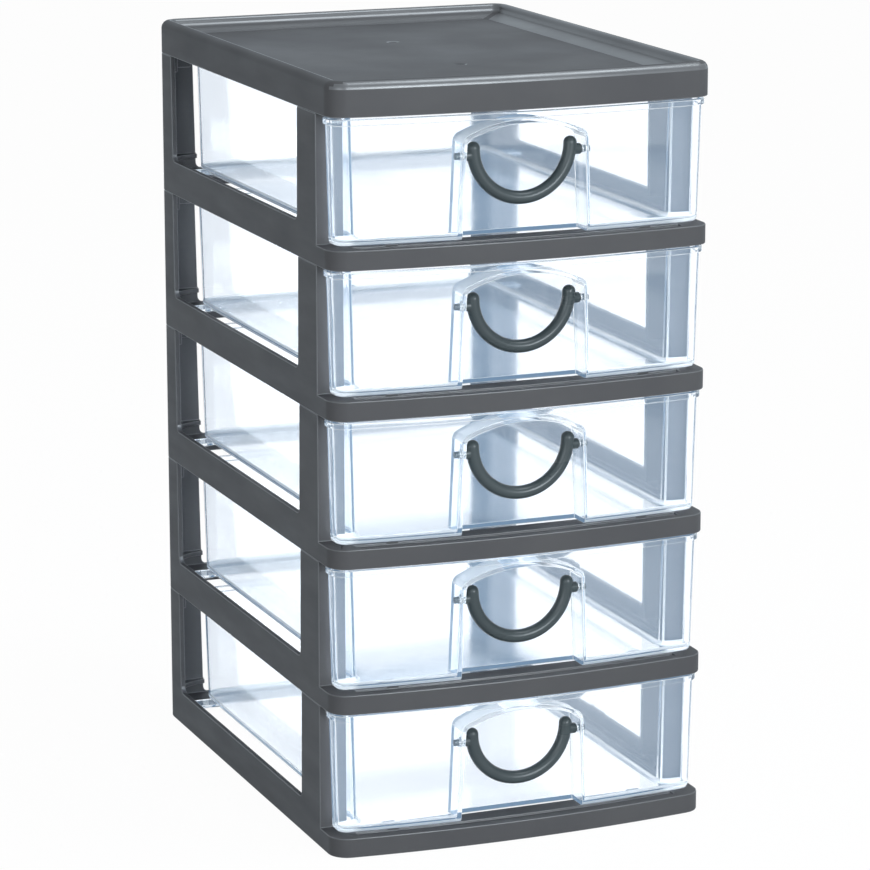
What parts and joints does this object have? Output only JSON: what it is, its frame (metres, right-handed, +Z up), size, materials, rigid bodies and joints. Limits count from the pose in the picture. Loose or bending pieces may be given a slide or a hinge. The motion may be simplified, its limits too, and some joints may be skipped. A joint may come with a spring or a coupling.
{
  "type": "drawer tower",
  "caption": "Desktop tower of stacked grey plastic frames with open sides, each holding a clear sliding drawer with a swinging bail handle; tray-topped cover.",
  "frame": {"origin": "on the surface the tower stands on, under the middle of its overall width and depth", "axes": "+Z up, -Y out of the front, the way the drawers open, +X to the right for someone facing the front"},
  "size_m": [0.18, 0.242, 0.3455],
  "materials": {
    "frame_plastic": "dark grey injection-moulded plastic with a fine satin grain",
    "clear_plastic": "clear moulded polystyrene, glossy, slightly blue in its depth",
    "handle_plastic": "dark grey moulded plastic with a soft gloss"
  },
  "bodies": {
    "tower": {"tier_frame_1": "frame_plastic", "tier_frame_2": "frame_plastic", "tier_frame_3": "frame_plastic", "tier_frame_4": "frame_plastic", "tier_frame_5": "frame_plastic", "top_cover": "frame_plastic"},
    "drawer_1": {"drawer_1": "clear_plastic"},
    "handle_1": {"handle_1": "handle_plastic"},
    "drawer_2": {"drawer_2": "clear_plastic"},
    "handle_2": {"handle_2": "handle_plastic"},
    "drawer_3": {"drawer_3": "clear_plastic"},
    "handle_3": {"handle_3": "handle_plastic"},
    "drawer_4": {"drawer_4": "clear_plastic"},
    "handle_4": {"handle_4": "handle_plastic"},
    "drawer_5": {"drawer_5": "clear_plastic"},
    "handle_5": {"handle_5": "handle_plastic"}
  },
  "joints": [
    {"name": "drawer_1_slide", "type": "slide", "parent": "tower", "child": "drawer_1", "axis": [0, -1, 0], "range_m": [0, 0.183]},
    {"name": "handle_1_hinge", "type": "hinge", "parent": "drawer_1", "child": "handle_1", "pos_m": [0, -0.11125, 0.046], "axis": [-1, 0, 0], "range_deg": [-8, 125]},
    {"name": "drawer_2_slide", "type": "slide", "parent": "tower", "child": "drawer_2", "axis": [0, -1, 0], "range_m": [0, 0.183]},
    {"name": "handle_2_hinge", "type": "hinge", "parent": "drawer_2", "child": "handle_2", "pos_m": [0, -0.11125, 0.112], "axis": [-1, 0, 0], "range_deg": [-8, 125]},
    {"name": "drawer_3_slide", "type": "slide", "parent": "tower", "child": "drawer_3", "axis": [0, -1, 0], "range_m": [0, 0.183]},
    {"name": "handle_3_hinge", "type": "hinge", "parent": "drawer_3", "child": "handle_3", "pos_m": [0, -0.11125, 0.178], "axis": [-1, 0, 0], "range_deg": [-8, 125]},
    {"name": "drawer_4_slide", "type": "slide", "parent": "tower", "child": "drawer_4", "axis": [0, -1, 0], "range_m": [0, 0.183]},
    {"name": "handle_4_hinge", "type": "hinge", "parent": "drawer_4", "child": "handle_4", "pos_m": [0, -0.11125, 0.244], "axis": [-1, 0, 0], "range_deg": [-8, 125]},
    {"name": "drawer_5_slide", "type": "slide", "parent": "tower", "child": "drawer_5", "axis": [0, -1, 0], "range_m": [0, 0.183]},
    {"name": "handle_5_hinge", "type": "hinge", "parent": "drawer_5", "child": "handle_5", "pos_m": [0, -0.11125, 0.31], "axis": [-1, 0, 0], "range_deg": [-8, 125]}
  ]
}
